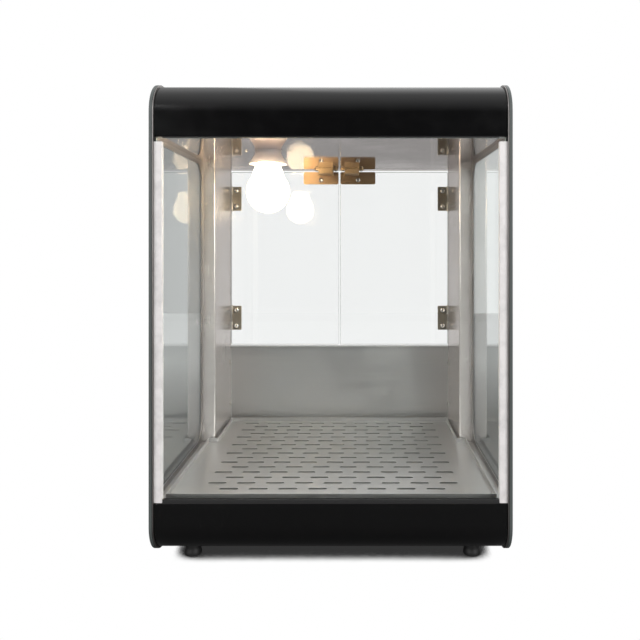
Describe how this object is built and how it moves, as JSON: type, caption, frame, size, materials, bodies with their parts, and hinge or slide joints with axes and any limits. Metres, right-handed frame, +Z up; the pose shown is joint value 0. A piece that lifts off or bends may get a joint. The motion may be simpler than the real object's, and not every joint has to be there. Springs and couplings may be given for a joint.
{
  "type": "hot food display case",
  "caption": "Countertop glazed warming cabinet with rounded hood and base, a lamp, clear rear doors on push latches, a perforated floor and a crumb drawer.",
  "frame": {"origin": "on the table, under the middle of the case", "axes": "+Z up, front glass facing -Y, +X to the right as seen from the front"},
  "size_m": [0.44, 0.39, 0.6],
  "materials": {
    "black_enamel": "semi-gloss baked black powder coat",
    "galvanised_sheet": "dull zinc-coated sheet",
    "stainless_sheet": "brushed stainless",
    "black_rubber": "matt moulded rubber",
    "zinc_screws": "bright zinc",
    "polished_steel": "polished stainless sheet",
    "frame_steel": "satin stainless",
    "black_gasket": "black bonded border",
    "clear_glass": "clear toughened glass",
    "front_glass": "clear toughened glass",
    "clear_strip": "clear extruded strip",
    "post_steel": "polished stainless sheet",
    "bright_screws": "bright nickel",
    "hinge_steel": "satin steel",
    "pin_steel": "steel",
    "door_acrylic": "clear pane with polished edges",
    "strike_steel": "satin steel",
    "latch_plastic": "moulded grey plastic",
    "plunger_steel": "turned steel",
    "lamp_ceramic": "glazed porcelain",
    "skirt_plastic": "heat-resistant moulding",
    "cap_nickel": "rolled thread",
    "bulb_frosted": "frosted white",
    "black_wire": "sheathed cable",
    "heater_sheath": "annealed sheath",
    "cream_plastic": "moulded",
    "black_plastic": "fine grained moulding",
    "copper_tube": "drawn copper",
    "green_lens": "translucent moulding",
    "red_lens": "translucent moulding",
    "amber_lens": "translucent moulding"
  },
  "bodies": {
    "case": {"base_fascia": "black_enamel", "base_pan": "galvanised_sheet", "rear_control_panel": "black_enamel", "deck_plate": "stainless_sheet", "tray_guides": "galvanised_sheet", "floor_tray": "stainless_sheet", "rubber_feet": "black_rubber", "foot_fasteners": "zinc_screws", "hood_shell": "black_enamel", "hood_rear_panel": "black_enamel", "ceiling_panel": "polished_steel", "side_frame_left": "frame_steel", "side_frame_right": "frame_steel", "side_gaskets": "black_gasket", "side_glass_left": "clear_glass", "side_glass_right": "clear_glass", "front_glass": "front_glass", "front_glass_seals": "black_rubber", "corner_strip_left": "clear_strip", "corner_strip_right": "clear_strip", "rear_post_left": "post_steel", "rear_post_right": "post_steel", "rear_lower_panel": "stainless_sheet", "panel_screws": "bright_screws", "hinge_frame_leaves": "hinge_steel", "hinge_frame_screws": "bright_screws", "hinge_pins": "pin_steel", "latch_body_left": "latch_plastic", "latch_body_right": "latch_plastic", "lamp_bracket": "galvanised_sheet", "lamp_socket": "lamp_ceramic", "lamp_skirt": "skirt_plastic", "bulb_cap": "cap_nickel", "bulb_glass": "bulb_frosted", "lamp_cable": "black_wire", "ceiling_screws": "bright_screws", "heater_element": "heater_sheath", "heater_brackets": "galvanised_sheet", "thermostat_body": "cream_plastic", "thermostat_capillary": "copper_tube", "switch_housings": "black_plastic", "pilot_lamp": "amber_lens", "cable_gland": "black_plastic", "terminal_block": "cream_plastic"},
    "door_left": {"door_pane_left": "door_acrylic", "door_leaves_left": "hinge_steel", "door_fasteners_left": "bright_screws", "strike_plate_left": "strike_steel"},
    "door_right": {"door_pane_right": "door_acrylic", "door_leaves_right": "hinge_steel", "door_fasteners_right": "bright_screws", "strike_plate_right": "strike_steel"},
    "latch_plunger_left": {"latch_plunger_left": "plunger_steel"},
    "latch_plunger_right": {"latch_plunger_right": "plunger_steel"},
    "thermostat_knob": {"thermostat_knob": "black_plastic", "thermostat_shaft": "plunger_steel"},
    "light_rocker": {"light_rocker": "green_lens"},
    "heat_rocker": {"heat_rocker": "red_lens"},
    "crumb_tray": {"crumb_tray": "stainless_sheet"}
  },
  "joints": [
    {"name": "door_left_hinge", "type": "hinge", "parent": "case", "child": "door_left", "pos_m": [-0.19425, 0.1882, 0.3735], "axis": [0, 0, 1], "range_deg": [0, 105]},
    {"name": "door_right_hinge", "type": "hinge", "parent": "case", "child": "door_right", "pos_m": [0.19425, 0.1882, 0.3735], "axis": [0, 0, -1], "range_deg": [0, 105]},
    {"name": "latch_left_push", "type": "slide", "parent": "case", "child": "latch_plunger_left", "axis": [0, 1, 0], "range_m": [-0.004, 0], "stiffness_N_per_m": 400},
    {"name": "latch_right_push", "type": "slide", "parent": "case", "child": "latch_plunger_right", "axis": [0, 1, 0], "range_m": [-0.004, 0], "stiffness_N_per_m": 400},
    {"name": "thermostat_turn", "type": "hinge", "parent": "case", "child": "thermostat_knob", "pos_m": [0.06, 0.176, 0.041], "axis": [0, 1, 0], "range_deg": [0, 270]},
    {"name": "light_switch_rock", "type": "hinge", "parent": "case", "child": "light_rocker", "pos_m": [0.156, 0.173, 0.041], "axis": [-1, 0, 0], "range_deg": [0, 14]},
    {"name": "heat_switch_rock", "type": "hinge", "parent": "case", "child": "heat_rocker", "pos_m": [0.122, 0.173, 0.041], "axis": [-1, 0, 0], "range_deg": [0, 14]},
    {"name": "crumb_tray_slide", "type": "slide", "parent": "case", "child": "crumb_tray", "axis": [0, 1, 0], "range_m": [0, 0.3]}
  ]
}
